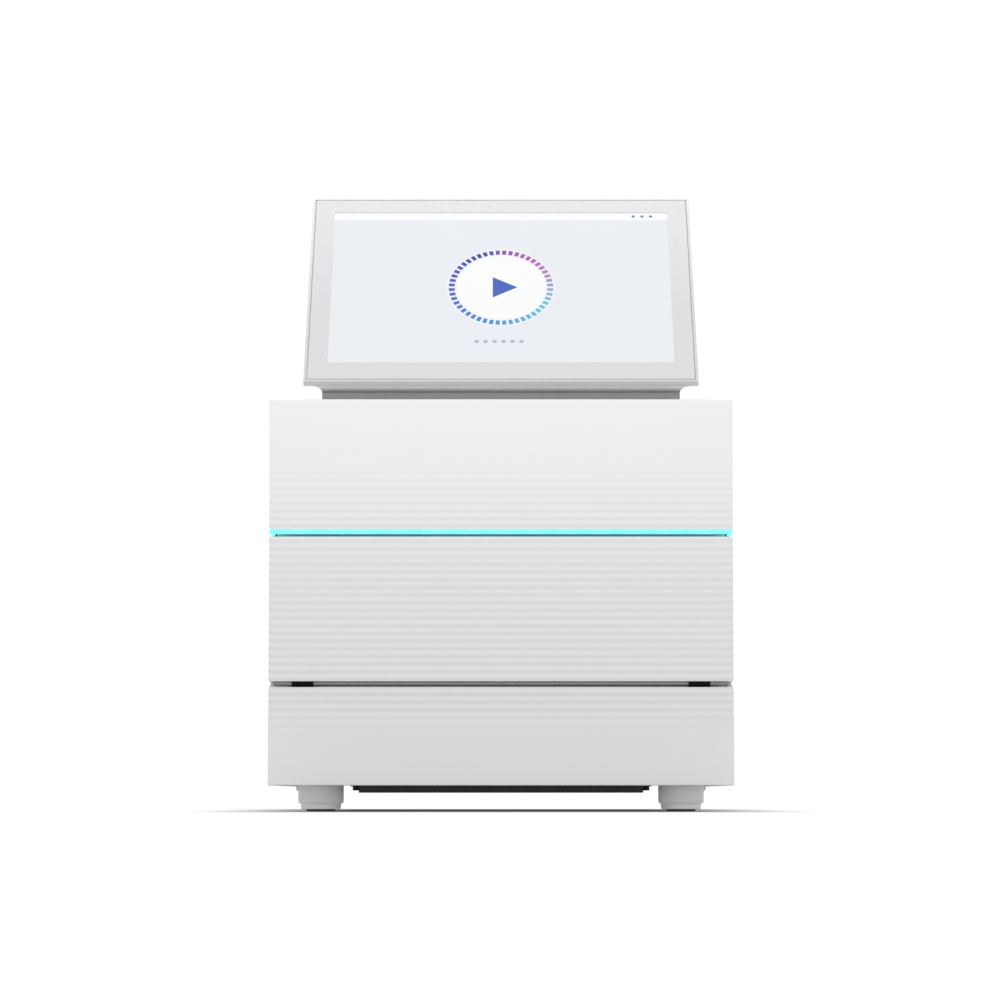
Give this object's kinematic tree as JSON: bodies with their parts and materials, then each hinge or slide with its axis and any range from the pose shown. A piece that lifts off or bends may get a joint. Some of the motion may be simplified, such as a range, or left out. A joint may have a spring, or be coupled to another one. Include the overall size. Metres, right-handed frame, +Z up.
{
  "type": "benchtop sequencer",
  "caption": "Cube-shaped benchtop sequencer with a ribbed light grey housing, a tilt-down compartment door with an ejecting tray, a status light bar and a fold-down touch monitor.",
  "frame": {"origin": "on the bench, under the middle of the overall body", "axes": "+Z up, +Y to the rear, so the front faces -Y and +X is to the right of someone who faces it"},
  "size_m": [0.3056, 0.33, 0.4245],
  "materials": {
    "housing": "satin moulded plastic",
    "housing_low": "satin moulded plastic",
    "light_bar": "lit translucent diffuser",
    "monitor_plastic": "satin moulded plastic",
    "screen_glass": "flat touch glass over a lit panel",
    "sheet_metal": "plain sheet",
    "dark_metal": "dark powder coat",
    "steel": "turned steel",
    "black_plastic": "black moulded plastic",
    "grey_plastic": "grey moulded plastic",
    "tray_plastic": "light moulded plastic",
    "circuit_board": "solder-masked board",
    "rubber": "soft black rubber",
    "foam": "open foam",
    "pad": "absorbent felt",
    "ceramic_white": "plain thermal plate",
    "lens_glass": "coated lens in its cell",
    "liner_plastic": "grey moulded plastic"
  },
  "bodies": {
    "chassis": {"base_pan": "sheet_metal", "wrap_cover": "housing", "upper_fascia": "housing", "lower_fascia": "housing_low", "status_light_bar": "light_bar", "light_board": "circuit_board", "front_frame": "tray_plastic", "side_frame_left": "sheet_metal", "side_frame_right": "sheet_metal", "compartment_floor": "sheet_metal", "electronics_shelf": "sheet_metal", "rear_panel": "sheet_metal", "filter_cover": "housing", "filter_foam": "foam", "fan_housings": "black_plastic", "power_inlet": "black_plastic", "rocker_housing": "black_plastic", "ethernet_jack": "black_plastic", "usb_board": "circuit_board", "drip_tray": "dark_metal", "drip_pad": "pad", "drip_tray_screws": "black_plastic", "feet": "grey_plastic", "foot_pads": "rubber", "foot_screws": "steel", "frame_hinge_leaves": "black_plastic", "door_hinge_pins": "steel", "tray_rails": "sheet_metal", "drive_supports": "sheet_metal", "drive_motor": "black_plastic", "thermal_block": "ceramic_white", "heat_sink": "sheet_metal", "optics_housing": "sheet_metal", "lens_barrel": "lens_glass", "sensor_board": "circuit_board", "main_board": "circuit_board", "computer_module": "sheet_metal", "power_supply": "sheet_metal", "tilt_hinge_pins": "steel", "tilt_hinge_brackets": "sheet_metal", "hinge_trough": "grey_plastic"},
    "door": {"door_panel": "housing", "door_liner": "liner_plastic", "door_stays": "sheet_metal", "door_hinge_leaves": "black_plastic"},
    "tray": {"cartridge_tray": "tray_plastic", "drive_nut": "tray_plastic"},
    "drive_screw": {"lead_screw": "steel"},
    "monitor": {"monitor_rim": "monitor_plastic", "monitor_bezel": "monitor_plastic", "touch_glass": "screen_glass", "lcd_panel": "steel", "monitor_board": "circuit_board", "monitor_back": "monitor_plastic", "monitor_bumpers": "rubber"},
    "left_fan": {"fan_rotor_left": "black_plastic"},
    "right_fan": {"fan_rotor_right": "black_plastic"},
    "rocker": {"rocker_switch": "black_plastic"},
    "button": {"power_button": "housing"}
  },
  "joints": [
    {"name": "monitor_tilt", "type": "hinge", "parent": "chassis", "child": "monitor", "pos_m": [0, -0.146, 0.264], "axis": [1, 0, 0], "range_deg": [-54.5, 0]},
    {"name": "door_swing", "type": "hinge", "parent": "chassis", "child": "door", "pos_m": [0, -0.1628, 0.0837], "axis": [1, 0, 0], "range_deg": [0, 75]},
    {"name": "tray_slide", "type": "slide", "parent": "chassis", "child": "tray", "axis": [0, -1, 0], "range_m": [0, 0.0891]},
    {"name": "drive_screw_spin", "type": "hinge", "parent": "chassis", "child": "drive_screw", "pos_m": [0.082, -0.1, 0.118], "axis": [0, 1, 0], "range_deg": [0, 1336.2]},
    {"name": "left_fan_spin", "type": "hinge", "parent": "chassis", "child": "left_fan", "pos_m": [-0.044, 0.144, 0.227], "axis": [0, 1, 0], "continuous": true},
    {"name": "right_fan_spin", "type": "hinge", "parent": "chassis", "child": "right_fan", "pos_m": [0.044, 0.144, 0.227], "axis": [0, 1, 0], "continuous": true},
    {"name": "rocker_tilt", "type": "hinge", "parent": "chassis", "child": "rocker", "pos_m": [-0.066, 0.152, 0.05], "axis": [1, 0, 0], "range_deg": [-18, 0]},
    {"name": "power_button_press", "type": "slide", "parent": "chassis", "child": "button", "axis": [-1, 0, 0], "range_m": [0, 0.0015], "stiffness_N_per_m": 500, "springref_m": -0.0008}
  ],
  "couplings": [
    {"joint": "tray_slide", "follows": "door_swing", "m_per_rad": 0.068},
    {"joint": "drive_screw_spin", "follows": "door_swing", "ratio": 17.802}
  ]
}
